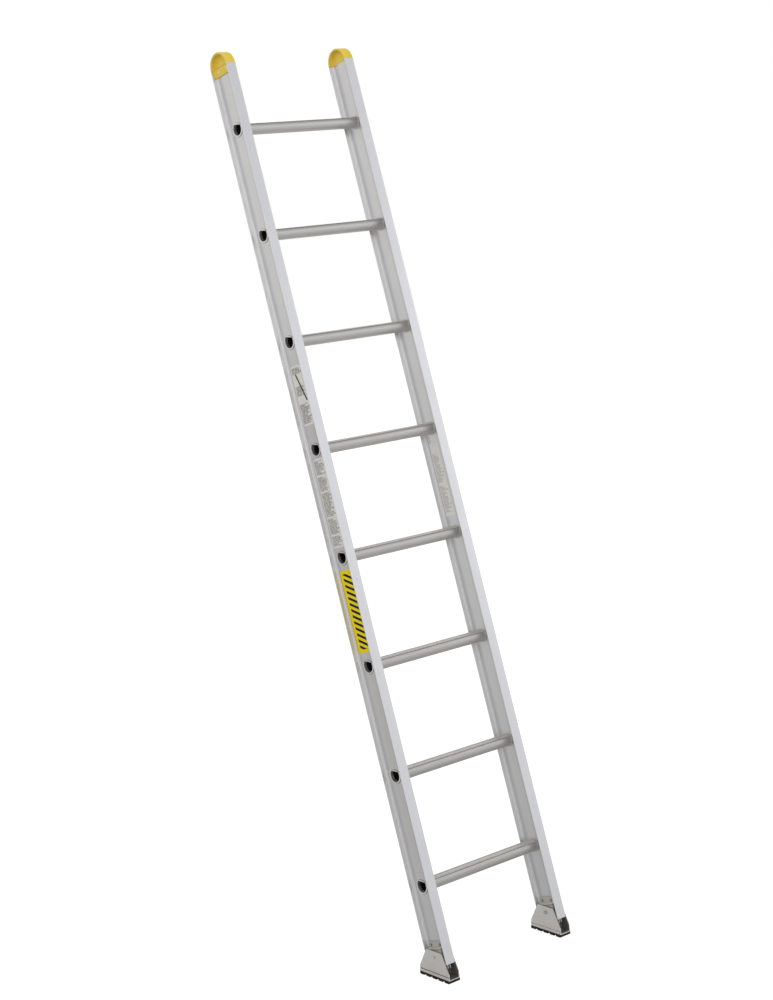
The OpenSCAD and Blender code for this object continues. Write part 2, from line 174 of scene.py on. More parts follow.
def carve(piece, bm, operation="DIFFERENCE"):
    tool = meshObject("tool", bm, piece.matrix_world)
    change = piece.modifiers.new("carve", "BOOLEAN")
    change.object = tool
    change.operation = operation
    change.solver = "EXACT"
    applied(piece)
    bpy.data.objects.remove(tool)


finish = {"softFrom": 34, "sharpFrom": 44}    # degrees at which edges are softened, or shaded sharp


def dress(piece, look, body, nodes, edge=0.3 * mm, steps=2):
    # soft edges, clean shading, the finish, and what the piece stands for
    if edge:
        bevel = piece.modifiers.new("edges", "BEVEL")
        bevel.width = edge
        bevel.segments = steps
        bevel.limit_method = "ANGLE"
        bevel.angle_limit = math.radians(finish["softFrom"])
        applied(piece)
    piece.data.polygons.foreach_set("use_smooth", [True] * len(piece.data.polygons))
    piece.data.set_sharp_from_angle(angle=math.radians(finish["sharpFrom"]))
    even = piece.modifiers.new("evenShading", "WEIGHTED_NORMAL")
    even.keep_sharp = True
    for one in look if isinstance(look, list) else [look]:
        piece.data.materials.append(one)
    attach(piece, body)
    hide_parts(*nodes)


def addNode(tree, kind, inputs=None, **settings):
    # an input is a plain value or another node's output
    node = tree.nodes.new(kind)
    for name, value in settings.items():
        setattr(node, name, value)
    for name, value in (inputs or {}).items():
        if isinstance(value, bpy.types.NodeSocket):
            tree.links.new(value, node.inputs[name])
        else:
            node.inputs[name].default_value = value
    return node


def math2(tree, operation, first, second=0, clamp=False):
    return addNode(tree, "ShaderNodeMath", {0: first, 1: second},
                   operation=operation, use_clamp=clamp).outputs[0]


def times(tree, first, second):
    return math2(tree, "MULTIPLY", first, second)


def vector2(tree, operation, first, second=(0, 0, 0)):
    return addNode(tree, "ShaderNodeVectorMath", {0: first, 1: second}, operation=operation).outputs


def mixColour(tree, amount, first, second):
    inputs = {0: amount, 6: first, 7: second}
    return addNode(tree, "ShaderNodeMix", inputs, data_type="RGBA").outputs[2]


def mapped(tree, value, source=(0, 1), target=(0, 1), **settings):    # one range of values as another
    node = addNode(tree, "ShaderNodeMapRange",
                   {"Value": value, "From Min": source[0], "From Max": source[1],
                    "To Min": target[0], "To Max": target[1]}, **settings)
    return node.outputs["Result"]


def noise(tree, vector, **values):
    return addNode(tree, "ShaderNodeTexNoise", {"Vector": vector, **values}).outputs["Fac"]


def newGroup(name, inputs, outputs):
    tree = bpy.data.node_groups.new(name, "ShaderNodeTree")
    for label, kind, value in inputs:
        socket = tree.interface.new_socket(label, in_out="INPUT", socket_type=f"NodeSocket{kind}")
        if value is not None:
            socket.default_value = value
    for label in outputs:
        tree.interface.new_socket(label, in_out="OUTPUT", socket_type="NodeSocketFloat")
    return tree, tree.nodes.new("NodeGroupInput").outputs, tree.nodes.new("NodeGroupOutput").inputs


def drawnLinesGroup():    # fine streaks that run one way, as drawing through a die leaves
    tree, given, made = newGroup(
        "drawnLines", [("Vector", "Vector", None), ("Stretch", "Vector", (900, 900, 3)),
                       ("Strength", "Float", 1.0)], ["Streaks", "Height"])
    stretched = vector2(tree, "MULTIPLY", given["Vector"], given["Stretch"])[0]
    fine = noise(tree, stretched, Scale=1.0, Detail=3.0, Roughness=0.65)
    wide = noise(tree, stretched, Scale=0.16, Detail=2.0, Roughness=0.5)
    both = math2(tree, "ADD", times(tree, fine, 0.55), times(tree, wide, 0.45))
    centred = times(tree, math2(tree, "SUBTRACT", both, 0.5), given["Strength"])
    tree.links.new(math2(tree, "ADD", centred, 0.5, True), made["Streaks"])
    tree.links.new(times(tree, both, given["Strength"]), made["Height"])
    return tree


def cloudsGroup():    # slow, uneven tone, as oxide and handling leave
    tree, given, made = newGroup(
        "clouds", [("Vector", "Vector", None), ("Scale", "Float", 12.0), ("Contrast", "Float", 1.0)],
        ["Mask"])
    slow = noise(tree, given["Vector"], Scale=given["Scale"], Detail=5.0, Roughness=0.6,
                 Distortion=0.4)
    lifted = times(tree, math2(tree, "SUBTRACT", slow, 0.5), given["Contrast"])
    tree.links.new(math2(tree, "ADD", lifted, 0.5, True), made["Mask"])
    return tree


def scratchesGroup():    # sparse straight scratches, long along one axis of Spread and slightly askew
    tree, given, made = newGroup(
        "scratches", [("Vector", "Vector", None), ("Spread", "Vector", (900, 900, 12)),
                      ("Amount", "Float", 0.5)], ["Mask"])
    layers = []
    for tilt in ((0.1, 0.16, 0.06), (-0.22, -0.12, 0.2)):
        askew = addNode(tree, "ShaderNodeVectorRotate", {"Vector": given["Vector"], "Rotation": tilt},
                        rotation_type="EULER_XYZ")
        stretched = vector2(tree, "MULTIPLY", askew.outputs[0], given["Spread"])[0]
        marks = noise(tree, stretched, Scale=1.0, Detail=0.0)
        layers.append(mapped(tree, marks, (0.72, 0.78)))
    mask = times(tree, math2(tree, "MAXIMUM", *layers), given["Amount"])
    tree.links.new(mask, made["Mask"])
    return tree


def grainGroup():    # fine pebbled height, as moulds and rubber leave
    tree, given, made = newGroup(
        "grain", [("Vector", "Vector", None), ("Scale", "Float", 900.0)], ["Height"])
    pebbles = noise(tree, given["Vector"], Scale=given["Scale"], Detail=3.0, Roughness=0.6)
    tree.links.new(pebbles, made["Height"])
    return tree


groups = {"drawnLines": drawnLinesGroup(), "clouds": cloudsGroup(),
          "scratches": scratchesGroup(), "grain": grainGroup()}


def placeGroup(tree, name, place, **values):
    return addNode(tree, "ShaderNodeGroup", {"Vector": place, **values},
                   node_tree=groups[name]).outputs


def newMaterial(name, values):
    material = bpy.data.materials.new(name)
    material.use_nodes = True
    tree = material.node_tree
    surface = tree.nodes["Principled BSDF"].inputs
    for label, value in values.items():
        surface[label].default_value = value
    place = tree.nodes.new("ShaderNodeTexCoord").outputs["Object"]
    return material, tree, surface, place


def bump(tree, surface, height, distance):
    node = addNode(tree, "ShaderNodeBump", {"Height": height, "Distance": distance, "Strength": 1.0})
    tree.links.new(node.outputs["Normal"], surface["Normal"])


def aluminium(name, look):    # mill-finish metal with streaks along the way it was drawn or rolled
    material, tree, surface, place = newMaterial(name, {"Metallic": look["metallic"]})
    light, dark = shade(*look["light"]), shade(*look["dark"])
    lines = placeGroup(tree, "drawnLines", place, Stretch=look["stretch"], Strength=look["streaks"])
    clouds = placeGroup(tree, "clouds", place, Scale=look["cloudScale"],
                        Contrast=look["cloudContrast"])["Mask"]
    scratches = placeGroup(tree, "scratches", place, Spread=look["scratchSpread"],
                           Amount=look["scratches"])["Mask"]
    tone = mixColour(tree, lines["Streaks"], dark, light)
    tone = mixColour(tree, times(tree, clouds, look["clouds"]), tone, dark)
    tone = mixColour(tree, scratches, tone, light)
    if "foot" in look:    # painted shade: a darker margin on the web, along the foot of each slope
        centre, half, reach = look["foot"]
        split = addNode(tree, "ShaderNodeSeparateXYZ", {"Vector": place})
        away = math2(tree, "ABSOLUTE", math2(tree, "SUBTRACT", split.outputs["Y"], centre))
        near = mapped(tree, away, (half - reach, half), interpolation_type="SMOOTHSTEP")
        web = times(tree, near, math2(tree, "LESS_THAN", away, half))
        tone = mixColour(tree, times(tree, web, look["stainShare"]), tone,
                         shade(*look["stain"]))
    tree.links.new(tone, surface["Base Color"])
    rough = math2(tree, "ADD", mapped(tree, lines["Streaks"], target=look["rough"]),
                  times(tree, clouds, look["roughClouds"]))
    tree.links.new(rough, surface["Roughness"])
    bump(tree, surface, lines["Height"], look["relief"])
    return material


railLook = {
    "metallic": 0.82, "light": (239, 239, 240), "dark": (224, 224, 224),
    "stretch": (1400, 1400, 2.5), "streaks": 1.3, "cloudScale": 7.0, "cloudContrast": 1.6,
    "clouds": 0.3, "scratchSpread": (900, 900, 14), "scratches": 0.35, "rough": (0.34, 0.43),
    "roughClouds": 0.06, "relief": 0.012 * mm,
}
rungLook = dict(railLook, light=(217, 215, 211), dark=(198, 195, 190), stretch=(2.5, 1300, 1300),
                scratchSpread=(14, 900, 900), rough=(0.38, 0.46), metallic=0.9)
# a lighter copy of the rung metal: painted highlight for the flat tread
treadLitLook = dict(rungLook, light=(250, 247, 243), dark=(226, 223, 218))
# a smoother finish, and a lighter tone that is painted highlight
lipHighlightLook = dict(rungLook, light=(250, 247, 243), dark=(240, 236, 231), rough=(0.3, 0.36))
# the bore's dark tone is painted shade, where the tube's inside gets no light
boreShadeLook = dict(rungLook, light=(70, 72, 82), dark=(48, 50, 58), rough=(0.6, 0.7), metallic=1.0)
# a dark copy of the metal: painted shade for seams, gaps and collars
seamShadeLook = dict(boreShadeLook, light=(120, 118, 114), dark=(96, 94, 90))
shoeLook = dict(railLook, light=(250, 247, 243), dark=(232, 229, 224), stretch=(700, 5, 700),
                streaks=0.9, cloudScale=24.0, clouds=0.5, rough=(0.44, 0.56), scratches=0.5,
                scratchSpread=(900, 25, 900), relief=0.01 * mm)
# a dark copy of the shoe metal: painted shade for grooves, edges and the rung's tread line
grooveShadeLook = dict(shoeLook, light=(172, 168, 162), dark=(148, 144, 138))
# painted shade inside the shoe's channel, tinted warm as dirt
shoeShadedInsideLook = dict(shoeLook, light=(168, 162, 156), dark=(134, 128, 121), rough=(0.6, 0.75))
bracketLook = dict(shoeLook, light=(228, 228, 221), dark=(200, 200, 192), stretch=(5, 500, 500),
                   scratchSpread=(25, 900, 900))
rivetLook = dict(shoeLook, light=(250, 251, 255), dark=(234, 236, 240), stretch=(300, 300, 300),
                 metallic=0.5)
zincLook = dict(shoeLook, light=(214, 218, 220), dark=(182, 186, 188), stretch=(400, 400, 400),
                rough=(0.28, 0.4))

# the slopes' darker tone is painted shade
slopeShadeMetal = aluminium("slopeShadeAluminium", dict(railLook, light=(214, 214, 217), dark=(200, 200, 203)))
rungMetal = aluminium("rungAluminium", rungLook)
treadLitMetal = aluminium("treadLitAluminium", treadLitLook)
lipHighlightMetal = aluminium("lipHighlightAluminium", lipHighlightLook)
boreShadeMetal = aluminium("boreShadeAluminium", boreShadeLook)
seamShadeMetal = aluminium("seamShadeAluminium", seamShadeLook)
shoeMetal = aluminium("shoeAluminium", shoeLook)
grooveShadeMetal = aluminium("grooveShadeAluminium", grooveShadeLook)
shoeShadedInside = aluminium("shoeShadedInside", shoeShadedInsideLook)
bracketMetal = aluminium("bracketAluminium", bracketLook)
rivetMetal = aluminium("rivetAluminium", rivetLook)
zincMetal = aluminium("zincSteel", zincLook)

capLook = {
    "light": (252, 224, 94), "dark": (242, 208, 68), "shine": 0.4, "cloudScale": 30.0,
    "cloudContrast": 1.5, "grainScale": 700.0, "relief": 0.05 * mm, "rough": (0.32, 0.44),
}
# a darker copy of the cap plastic: painted shade
capSeamShadeLook = dict(capLook, light=(150, 122, 40), dark=(120, 96, 30))
nylonLook = dict(capLook, light=(226, 226, 220), dark=(210, 209, 202))
rubberLook = dict(capLook, light=(30, 29, 29), dark=(20, 19, 19), grainScale=1400.0,
                  relief=0.12 * mm, rough=(0.55, 0.75))


def moulded(name, look, mask=None):    # plastic, rubber or film; mask(tree, place) gives where ink is
    material, tree, surface, place = newMaterial(name, {"Specular IOR Level": look["shine"]})
    clouds = placeGroup(tree, "clouds", place, Scale=look["cloudScale"],
                        Contrast=look["cloudContrast"])["Mask"]
    tone = mixColour(tree, clouds, shade(*look["light"]), shade(*look["dark"]))
    if mask:
        tone = mixColour(tree, mask(tree, place), tone, shade(*look["ink"]))
    tree.links.new(tone, surface["Base Color"])
    tree.links.new(mapped(tree, clouds, target=look["rough"]), surface["Roughness"])
    grain = placeGroup(tree, "grain", place, Scale=look["grainScale"])
    bump(tree, surface, grain["Height"], look["relief"])
    return material


capPlastic = moulded("capPlastic", capLook)
capSeamShade = moulded("capSeamShade", capSeamShadeLook)
nylon = moulded("washerNylon", nylonLook)
treadRubber = moulded("treadRubber", rubberLook)
print("shader groups, metals and plastics ready")

rail = {
    "depth": ladder["railDepth"], "flangeWidth": 31 * mm, "flange": 3 * mm, "web": 3 * mm,
    "bandRise": 1 * mm, "band": 8.5 * mm, "slope": 3 * mm, "edge": 1 * mm, "fillet": 2 * mm,
    "boltHole": 3.1 * mm, "rivetHole": 2.5 * mm, "capRivetSpan": 40 * mm,
    "footRivetRise": 30 * mm, "footRivetSpan": 37 * mm,
}
halfWeb = rail["web"] / 2
halfBand = halfWeb + rail["bandRise"]
halfFlange = rail["flangeWidth"] / 2
bandEnd = rail["flange"] + rail["band"] + rail["slope"]
throughRail = (-halfFlange, halfFlange)
footSpots, capSpots = [
    [(railMid + way * span / 2, rise) for way in (-1, 1)]
    for span, rise in ((rail["footRivetSpan"], ladder["pivotUp"] + rail["footRivetRise"]),
                       (rail["capRivetSpan"], railLength - ladder["capRivetDown"]))]
# the foot margin's darker tone is painted shade in the corner by each slope
webLook = dict(railLook, stain=(196, 196, 199), stainShare=0.6,
               foot=(railMid, railMid - bandEnd, 16 * mm))    # middle, half width and reach inwards
railMetal = aluminium("railAluminium", webLook)

rung = {
    "radius": 18.8 * mm, "tread": 12.4 * mm, "wall": 1.6 * mm, "gap": 0.1 * mm,
    "softness": 22,              # how tightly the tread's corners are rounded
    "cornerTurns": (28, 31, 34, 36, 38, 40, 42, 44, 46, 48),    # angles with points at a corner
    "belowSteps": 44, "beadSteps": 8, "lipSteps": 9,
    "lip": 3.8 * mm, "lipOut": 2 * mm, "mark": 0.8 * mm, "flare": 0.9 * mm,
    "crown": 33 * mm,            # radius of the lip's rounded top
    "lipFlat": 0.55,             # the share of the lip's height before its face rounds
    "bead": 2.6 * mm, "beadLong": 3.2 * mm, "mouth": 7.5 * mm,
    "beadArc": (0.08, 0.84),     # where in a half turn the bead starts, and how much of it it takes
    "litLap": 0.65 * mm, "line": 0.8 * mm,    # the tread's painted highlight laps its corners, above a painted dark line of shade
    "grooves": 7, "groovePitch": 3.2 * mm, "groove": 1.4 * mm, "grooveDeep": 0.5 * mm,
    "grooveFade": (6 * mm, 1.5 * mm, 0.4 * mm),    # before the bead, where the grooves run out
}


def rungAxis(number):
    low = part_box(f"rung_{number}")[0]
    return Vector((0, middle(f"rung_{number}").y, low.z + rung["radius"] + rung["lip"]))


rungRises = [alongRail(rungAxis(n)) for n in range(1, ladder["rungs"] + 1)]


def fromLevel(rise, y, z):    # a level point about a rung's axis, in the rail's depth and length
    return railMid + railUp.z * y - railUp.y * z, rise + railUp.y * y + railUp.z * z


def rungTurns():    # the angles around a rung at which its outline has points, and where a groove is
    half = [math.radians(a) for a in rung["cornerTurns"]]
    steps = rung["belowSteps"]
    grooves = []
    for k in range(rung["grooves"]):
        at = (k - (rung["grooves"] - 1) / 2) * rung["groovePitch"]
        grooves += [(math.atan2(rung["tread"], at + step * rung["groove"]), low)
                    for step, low in ((-0.5, 0), (-0.3, 1), (0.3, 1), (0.5, 0))]
    below = [math.pi - half[0] + (math.pi + 2 * half[0]) * k / steps for k in range(1, steps)]
    return ([(a, 0) for a in half] + sorted(grooves)
            + [(math.pi - a, 0) for a in reversed(half)] + [(a, 0) for a in below])


def rungOutline(grow, grooves=0):
    # a rung's outline grown outwards: round below, flat on top, and crowned as it grows to the lip
    radius, top = rung["radius"] + grow, rung["tread"] + grow
    points = []
    for turn, low in rungTurns():
        across, up = math.cos(turn), math.sin(turn)
        reach = radius
        if up > 0.2:    # above the middle, where the flat top cuts the circle
            over = top / up
            if grow > rung["gap"]:
                crown = rung["crown"] * rung["lip"] / grow
                over = (top - crown) * up + math.sqrt(crown ** 2 - ((top - crown) * across) ** 2)
            reach *= (1 + (radius / over) ** rung["softness"]) ** (-1 / rung["softness"])
            reach -= low * grooves / up
        points.append((across * reach, up * reach))
    return points


def railOutline():    # the I-section as (x, depth) points
    edge, fillet = rail["edge"], rail["fillet"]
    front = [arc((halfFlange - edge, edge), edge, -90, 0),
             arc((halfFlange - edge, rail["flange"] - edge), edge, 0, 90),
             arc((halfBand + fillet, rail["flange"] + fillet), fillet, 270, 180),
             [(halfBand, rail["flange"] + rail["band"]), (halfWeb, bandEnd)]]
    quarter = [point for part in front for point in part]
    half = bothHalves(quarter)
    return half + [(-x, y) for x, y in reversed(half)]


def buildRail(side):
    bm = bmesh.new()
    outline = railOutline()
    loft(bm, [[(x, y, z) for x, y in outline] for z in (0, railLength)])
    piece = meshObject(f"{side}Rail", bm, railPlace(side))
    cutter = bmesh.new()
    shape = rungOutline(rung["gap"])
    for rise in rungRises:
        loft(cutter, [[(x, *fromLevel(rise, y, z)) for y, z in shape] for x in throughRail])
    hole(cutter, (railMid, ladder["pivotUp"]), rail["boltHole"], throughRail)
    for pair in zip(footSpots, capSpots):
        for spot in pair:
            hole(cutter, spot, rail["rivetHole"], throughRail)
    carve(piece, cutter)
    for face in piece.data.polygons:    # painted shade: the slopes between web and bands are given a darker tone
        if (halfWeb < abs(face.center.x) < halfBand and abs(face.normal.z) < 0.5
                and 0.2 < abs(face.normal.y) < 0.5):
            face.material_index = 1
    dress(piece, [railMetal, slopeShadeMetal], "ladder", [f"{side}_rail"],
          edge=0.25 * mm)


for side in sides:
    buildRail(side)
print("rails built,", round(railLength, 4), "m long")


def rungStations():    # (x, growth, groove depth) from the middle of a rung out to its end
    inside = abs(pivots["right"].x) - halfWeb
    outside = inside + rail["web"]
    deep, fade = rung["grooveDeep"], rung["grooveFade"]
    start = inside - rung["beadLong"]
    stations = [(0, 0, deep), (start - fade[0], 0, deep), (start - fade[1], 0, deep * 0.4),
                (start - fade[2], 0, 0)]
    first, reach = rung["beadArc"]
    for k in range(rung["beadSteps"] + 1):    # the swaged bead, half round
        part = k / rung["beadSteps"]
        stations.append((start + part * rung["beadLong"] * 0.98,
                         rung["bead"] * math.sin(math.pi * (first + reach * part)) ** 0.5, 0))
    edge, out, flat = rung["lip"], rung["lipOut"], rung["lipFlat"]
    mark, mouth = edge + rung["mark"], rung["flare"] - rung["wall"]
    # out along the web, a fine mark pressed round the lip, then the lip's edge
    stations += [(inside, 0, 0), (outside, 0, 0), (outside, mark, 0),
                 (outside + 0.15 * mm, mark - 0.1 * mm, 0),
                 (outside + 0.2 * mm, edge, 0), (outside + flat * out, edge, 0)]
    for k in range(1, rung["lipSteps"]):    # its rounded face, down into the flared bore
        turn = math.pi * k / rung["lipSteps"]
        stations.append((outside + out * (flat + (1 - flat) * math.sin(turn) ** 0.7),
                         mouth + (edge - mouth) * (0.5 + 0.5 * math.cos(turn)), 0))
    stations += [(outside + 0.4 * out, mouth - 0.15 * mm, 0),
                 (outside - 0.5 * rung["mouth"], 0.3 * mm - rung["wall"], 0),
                 (outside - rung["mouth"], -rung["wall"], 0)]
    return stations


# the tube, its bore in painted shade, the mark round the lip in painted shade, the lip with a painted
# highlight, the tread with a painted highlight and the painted line of shade below it
rungFinish = [rungMetal, boreShadeMetal, seamShadeMetal, lipHighlightMetal, treadLitMetal, grooveShadeMetal]


def rungMaterial(start, end):    # the place in rungFinish of a span between two stations
    outside = abs(pivots["right"].x) + halfWeb - hair
    near, far = sorted((abs(start[0]), abs(end[0])))
    if near < outside or max(start[1], end[1]) < 0:
        return 0
    # the lip's outer side takes painted shade, the rest of the lip a painted highlight
    return 2 if far < outside + 0.6 * rung["lipOut"] else 3


def buildRung(number):
    bm = bmesh.new()
    half = rungStations()
    full = [(-x, grow, deep) for x, grow, deep in reversed(half[1:])] + half
    rings = [[(x, y, z) for y, z in rungOutline(grow, deep)] for x, grow, deep in full]
    faces = loft(bm, rings, wrap=True)
    # the span that closes the loop, inside the bore, takes the painted shade
    spans = [rungMaterial(one, two) for one, two in zip(full, full[1:])] + [1]
    brink = rung["tread"] - rung["litLap"]
    for k, face in enumerate(faces):
        span = k // len(rings[0])
        face.material_index = spans[span]
        rise = face.calc_center_median().z
        plain = spans[span] == 0 and full[span][1] == full[span + 1][1] == 0
        # painted highlight on the flat tread, and a painted dark line of shade just below it
        if plain and rise > brink - rung["line"]:
            face.material_index = 4 if rise > brink else 5
    piece = meshObject(f"rung{number}", bm, Matrix.Translation(rungAxis(number)))
    dress(piece, rungFinish, "ladder", [f"rung_{number}"], edge=0)


for number in range(1, ladder["rungs"] + 1):
    buildRung(number)
print(ladder["rungs"], "rungs built")

cap = {
    "rim": 5.5 * mm, "edge": 1.6 * mm, "inner": 2 * mm, "tongue": 22 * mm, "tongueThick": 2 * mm,
    "tongueWall": 8 * mm, "lap": 3 * mm, "seam": 1.3 * mm, "gap": 0.2 * mm, "steps": 48,
}


def capOutline():    # half of the dome's section, from the axis out over the rim, as (x, radius)
    rim, inner, edge, inset = railMid - cap["rim"], cap["inner"], cap["edge"], cap["edge"] * 0.6
    half = [(halfBand, 0), (halfBand, rim - inner)]
    half += arc((halfBand + inner, rim - inner), inner, 180, 90)[1:]
    half += arc((halfFlange - inset, rim + inset), inset, -90, 0)
    return half + arc((halfFlange - edge, railMid - edge), edge, 0, 90)


def buildCap(side):
    way = sides[side]
    half = capOutline()
    outline = half + [(-x, radius) for x, radius in reversed(half)]
    bm = bmesh.new()
    loops = []
    ends = [bm.verts.new((x, railMid, railLength)) for x in (halfBand, -halfBand)]
    for k in range(cap["steps"] + 1):
        turn = math.pi * k / cap["steps"]
        loops.append([ends[0]] + [bm.verts.new((x, railMid - radius * math.cos(turn),
                                                railLength + radius * math.sin(turn)))
                                  for x, radius in outline[1:-1]] + [ends[1]])
    for one, two in zip(loops, loops[1:]):
        for i in range(len(one) - 1):
            corners = [one[i], one[i + 1], two[i + 1], two[i]]
            bm.faces.new([v for n, v in enumerate(corners) if v not in corners[:n]])
    bm.faces.new(loops[0] + list(reversed(loops[-1][1:-1])))
    piece = meshObject(f"{side}EndCap", bm, railPlace(side))
    bottom = rail["flange"] + cap["gap"]
    slant = rail["fillet"] + cap["gap"]
    thick, wall = cap["tongueThick"], halfBand + cap["tongueWall"]
    arm = [(halfBand, bottom + slant), (halfBand + slant, bottom), (wall, bottom),
           (wall, bottom + thick), (halfBand + slant + thick / 2, bottom + thick),
           (halfBand + thick, bottom + slant + thick / 2)]
    section = bothHalves(arm)
    tongue = bmesh.new()
    top, slope = railLength + cap["lap"], cap["seam"]
    loft(tongue, [[(way * (x if x < halfBand + hair else x - less), y, z) for x, y in section]
                  for z, less in ((railLength - cap["tongue"], 0), (top - slope, 0),
                                  (top, 0.7 * slope))])
    carve(piece, tongue, "UNION")
    holes = bmesh.new()
    for spot in capSpots:
        hole(holes, spot, rail["rivetHole"], (0, way * halfFlange))
    carve(piece, holes)
    for face in piece.data.polygons:    # painted shade on the slope at the tongue's upper end
        if (top - slope < face.center.z < top + hair and abs(face.normal.z) > 0.3
                and abs(face.center.x) < halfBand + 1.5 * thick):
            face.material_index = 1
    dress(piece, [capPlastic, capSeamShade], "ladder", [f"{side}_end_cap"], edge=0.4 * mm)


for side in sides:
    buildCap(side)
print("end caps built")

rivet = {
    "radius": 2.4 * mm, "head": 4.2 * mm, "rise": 1.8 * mm, "rim": 0.25 * mm, "under": 0.15 * mm,
    "collar": 1.9 * mm, "dimple": 1.1 * mm, "dimpleDeep": 0.7 * mm, "steps": 8,
}


def dome(radius, rise, steps):    # (height, radius) points of a low dome, from its top to its rim
    ball = (radius ** 2 + rise ** 2) / (2 * rise)
    rim = math.asin(radius / ball)
    return [(rise - ball + ball * math.cos(rim * k / steps), ball * math.sin(rim * k / steps))
            for k in range(steps + 1)]


def rivetProfile(low, high, dimple):    # (x, radius) points from the inner head to the outer one
    head = dome(rivet["head"], rivet["rise"], rivet["steps"])
    head[-1] = (rivet["rim"], rivet["head"])
    if dimple:
        head = [point for point in head if point[1] > rivet["dimple"]]
        brink = head[0][0]
        head = [(brink - rivet["dimpleDeep"], 0),
                (brink - rivet["dimpleDeep"], rivet["dimple"] * 0.8),
                (brink - 0.1 * mm, rivet["dimple"])] + head
    head.append((0, rivet["head"] - rivet["under"]))
    inner = [(low - x, radius) for x, radius in head]
    outer = [(high + x, radius) for x, radius in reversed(head)]
    return inner + [(low, rivet["radius"]), (high, rivet["radius"])] + outer


def buildRivets(side, name, spots, low, high, node, dimple):
    bm = bmesh.new()
    for spot in spots:
        turned(bm, rivetProfile(low, high, dimple), sides[side], spot)
    piece = meshObject(f"{side}{name}", bm)
    for face in piece.data.polygons:    # painted shade: a solid head's collar is darker than its crown
        if not dimple and min(math.dist(face.center[1:], spot) for spot in spots) > rivet["collar"]:
            face.material_index = 1
    piece.matrix_world = railPlace(side)
    dress(piece, [rivetMetal, seamShadeMetal], "ladder", [f"{side}_{node}"], edge=0)


bracket = {
    "leg": 3 * mm, "ledge": 2 * mm, "gap": 7 * mm, "rise": 40 * mm, "ledgeRise": 20 * mm,
    "legDrop": 16 * mm, "overrun": 12 * mm, "legInset": 1.5 * mm, "ledgeInset": 0.5 * mm,
    "bend": 1.5 * mm, "tip": 0.4 * mm, "corner": 0.5 * mm, "ledgeCorner": 0.8 * mm,
    "seam": 2.2 * mm, "seamDeep": 1.2 * mm,
}
innerLeg = halfBand + bracket["leg"]
outerLeg = halfFlange - bracket["legInset"]

for side in sides:
    buildRivets(side, "CapRivets", capSpots, -halfWeb, halfBand + cap["tongueThick"],
                "cap_rivets", True)
    buildRivets(side, "BracketRivets", footSpots, -innerLeg, innerLeg, "bracket_rivets", False)
print("rivets built")


def bracketOutline():    # the folded plate's section, as (x, z) above the rail's lower end
    base = ladder["pivotUp"]
    top, ledge, tail = base + bracket["rise"], base + bracket["ledgeRise"], -bracket["overrun"]
    bend, tip, foot = bracket["bend"], bracket["tip"], base - bracket["legDrop"]
    edge, inside = halfFlange - bracket["ledgeInset"], outerLeg - bracket["leg"]
    seam, floor = ledge - bracket["seam"], outerLeg - bracket["seamDeep"]
    ledgeTop = ledge + bracket["ledge"]
    return rounded([
        (halfBand, tail, 0), (innerLeg, tail, tip), (innerLeg, ledge, bend), (inside, ledge, bend),
        (inside, foot, tip), (outerLeg, foot, tip), (outerLeg, seam, 0), (floor, seam + 0.3 * mm, 0),
        (floor, ledge, 0), (edge, ledge, bracket["corner"]), (edge, ledgeTop, bracket["ledgeCorner"]),
        (innerLeg, ledgeTop, bend), (innerLeg, top, bracket["corner"]), (halfBand, top, 0)])


def buildBracket(side, part):
    way = sides[side] * (1 if part == "outer" else -1)
    front = rail["flange"] + bracket["gap"]
    outline = bracketOutline()
    bm = bmesh.new()
    loft(bm, [[(way * x, y, z) for x, z in outline] for y in (front, rail["depth"] - front)])
    piece = meshObject(f"{side}{part.capitalize()}Bracket", bm, railPlace(side))
    holes = bmesh.new()
    hole(holes, (railMid, ladder["pivotUp"]), rail["boltHole"], throughRail)
    for spot in footSpots:
        hole(holes, spot, rail["rivetHole"], throughRail)
    carve(piece, holes)
    floor, ledge = outerLeg - bracket["seamDeep"], ladder["pivotUp"] + bracket["ledgeRise"]
    for face in piece.data.polygons:    # painted shade in the seam under the ledge, and a painted highlight on the ledge
        out, rise = abs(face.center.x), face.center.z - ledge
        if abs(out - floor) < 5 * hair and 0 < -rise < bracket["seam"]:
            face.material_index = 1
        elif out > innerLeg + bracket["bend"] and rise > 0:
            face.material_index = 2
    dress(piece, [bracketMetal, seamShadeMetal, lipHighlightMetal], "ladder", [f"{side}_{part}_bracket"])


for side in sides:
    for part in ("outer", "inner"):
        buildBracket(side, part)
print("brackets built")

shoe = {
    "gap": 0.4 * mm, "plate": 2.4 * mm, "base": 3 * mm, "rise": 16.5 * mm, "drop": 55 * mm,
    "toe": 54.5 * mm, "heel": 65 * mm, "toeTop": 30 * mm, "heelTop": 33 * mm,
    "toeUpright": 19 * mm, "heelUpright": 17 * mm, "corner": 9 * mm, "skirt": 10 * mm,
    "skirtRise": 0.8 * mm, "skirtLip": 0.3 * mm, "edge": 2 * mm, "bolt": 3 * mm,
    "groove": 1 * mm, "grooveHalf": 1.2 * mm, "grooveFloor": (-1 * mm, 0.9 * mm),
    "boltGap": 0.15 * mm, "rivetGap": 0.1 * mm, "rim": 0.7 * mm, "fillet": 1.6 * mm,
    "headLift": 0.3 * mm,    # the bolt's head stands off the plate
}
shoeIn = halfFlange + shoe["gap"]
shoeOut = shoeIn + shoe["plate"]
skirtOut = shoeOut + shoe["skirtRise"]
headSeat = shoeOut + shoe["headLift"]


def plateTop():    # the plates' upper outline about the pivot, from toe to heel
    low = -shoe["drop"]
    points = rounded([
        (-shoe["toe"], low, 0), (-shoe["toe"], low + shoe["toeUpright"], shoe["corner"]),
        (-shoe["toeTop"], shoe["rise"], shoe["corner"]),
        (shoe["heelTop"], shoe["rise"], shoe["corner"] / 2),
        (shoe["heel"], low + shoe["heelUpright"], shoe["corner"]), (shoe["heel"], low, 0)], steps=8)
    least = low + shoe["skirt"] + 2 * shoe["rim"]
    return [(y, max(z, least)) for y, z in points[1:-1]]


